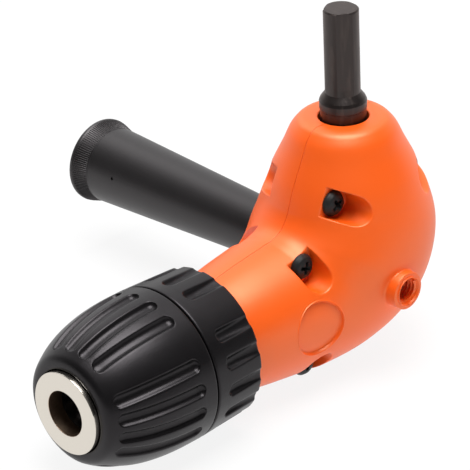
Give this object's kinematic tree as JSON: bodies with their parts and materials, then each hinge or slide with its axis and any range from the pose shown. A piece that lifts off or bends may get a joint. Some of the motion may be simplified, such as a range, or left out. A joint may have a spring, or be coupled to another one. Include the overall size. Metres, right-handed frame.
{
  "type": "right angle drill attachment",
  "caption": "Right angle drill attachment with a flatted shank, two-part moulded body, mitre gear drive, keyless chuck and screw-in side handle.",
  "frame": {"origin": "on the shank's axis at the rim of the collar, where the driving drill's jaws stop", "axes": "+Z out along the shank, +X out of the chuck along its axis, side handle along -Y"},
  "size_m": [0.1068, 0.1009, 0.0822],
  "materials": {
    "body_plastic": "satin moulded",
    "black_plastic": "satin moulded",
    "grip_plastic": "satin moulded",
    "black_oxide": "black oxide",
    "screw_black": "black oxide",
    "nose_steel": "polished",
    "steel": "ground",
    "gear_steel": "oiled",
    "sintered_bronze": "sintered",
    "bearing_cage": "pressed"
  },
  "bodies": {
    "housing": {"housing_near": "body_plastic", "housing_far": "body_plastic", "housing_screws": "screw_black", "input_bush": "sintered_bronze", "input_bearing_outer": "steel", "output_bush": "sintered_bronze", "output_bearing_outer": "steel"},
    "input_drive": {"input_shaft": "black_oxide", "input_gear": "gear_steel", "input_gear_pin": "steel", "input_washer": "sintered_bronze", "input_circlip": "black_oxide", "input_bearing_inner": "steel"},
    "input_ball_cage": {"input_bearing_balls": "bearing_cage"},
    "output_drive": {"output_spindle": "steel", "output_gear": "gear_steel", "output_gear_pin": "steel", "output_washer": "sintered_bronze", "output_circlip": "black_oxide", "output_bearing_inner": "steel", "chuck_body": "steel", "chuck_screw": "black_oxide", "rear_sleeve": "black_plastic", "nose_ring": "nose_steel", "thrust_washer": "steel"},
    "output_ball_cage": {"output_bearing_balls": "bearing_cage"},
    "chuck_sleeve": {"front_sleeve": "black_plastic", "nut_half_a": "gear_steel", "nut_half_b": "gear_steel", "nut_collar": "steel"},
    "thrust_cage": {"thrust_balls": "bearing_cage"},
    "jaw_a": {"jaw_1": "black_oxide"},
    "jaw_b": {"jaw_2": "black_oxide"},
    "jaw_c": {"jaw_3": "black_oxide"},
    "side_washer": {"handle_washer": "black_oxide"},
    "side_handle": {"handle_stud": "steel", "handle_grip": "grip_plastic", "handle_plug": "grip_plastic"}
  },
  "joints": [
    {"name": "output_spin", "type": "hinge", "parent": "housing", "child": "output_drive", "pos_m": [0, 0, -0.0423], "axis": [1, 0, 0], "continuous": true},
    {"name": "input_spin", "type": "hinge", "parent": "housing", "child": "input_drive", "pos_m": [0, 0, -0.0423], "axis": [0, 0, 1], "continuous": true},
    {"name": "output_cage_spin", "type": "hinge", "parent": "housing", "child": "output_ball_cage", "pos_m": [0, 0, -0.0423], "axis": [1, 0, 0], "continuous": true},
    {"name": "input_cage_spin", "type": "hinge", "parent": "housing", "child": "input_ball_cage", "pos_m": [0, 0, -0.0423], "axis": [0, 0, 1], "continuous": true},
    {"name": "sleeve_turn", "type": "hinge", "parent": "output_drive", "child": "chuck_sleeve", "pos_m": [0.06, 0, -0.0423], "axis": [-1, 0, 0], "range_deg": [0, 3073.3]},
    {"name": "thrust_cage_turn", "type": "hinge", "parent": "output_drive", "child": "thrust_cage", "pos_m": [0.06, 0, -0.0423], "axis": [-1, 0, 0], "range_deg": [0, 1536.9]},
    {"name": "jaw_a_slide", "type": "slide", "parent": "output_drive", "child": "jaw_a", "axis": [0.9588, -0.284, 0], "range_m": [0, 0.01708]},
    {"name": "jaw_b_slide", "type": "slide", "parent": "output_drive", "child": "jaw_b", "axis": [0.9588, 0.142, -0.246], "range_m": [0, 0.01708]},
    {"name": "jaw_c_slide", "type": "slide", "parent": "output_drive", "child": "jaw_c", "axis": [0.9588, 0.142, 0.246], "range_m": [0, 0.01708]},
    {"name": "handle_turn", "type": "hinge", "parent": "side_washer", "child": "side_handle", "pos_m": [0.004, -0.025, -0.0387], "axis": [0, -1, 0], "range_deg": [0, 3242]},
    {"name": "handle_lead", "type": "slide", "parent": "housing", "child": "side_washer", "axis": [0, -1, 0], "range_m": [0, 0.009]}
  ],
  "couplings": [
    {"joint": "input_spin", "follows": "output_spin", "ratio": -1},
    {"joint": "output_cage_spin", "follows": "output_spin", "ratio": 0.39655},
    {"joint": "input_cage_spin", "follows": "output_spin", "ratio": -0.38889},
    {"joint": "thrust_cage_turn", "follows": "sleeve_turn", "ratio": 0.5},
    {"joint": "jaw_a_slide", "follows": "sleeve_turn", "m_per_rad": 0.00031831},
    {"joint": "jaw_b_slide", "follows": "sleeve_turn", "m_per_rad": 0.00031831},
    {"joint": "jaw_c_slide", "follows": "sleeve_turn", "m_per_rad": 0.00031831},
    {"joint": "handle_turn", "follows": "handle_lead", "rad_per_m": 6283.2}
  ]
}
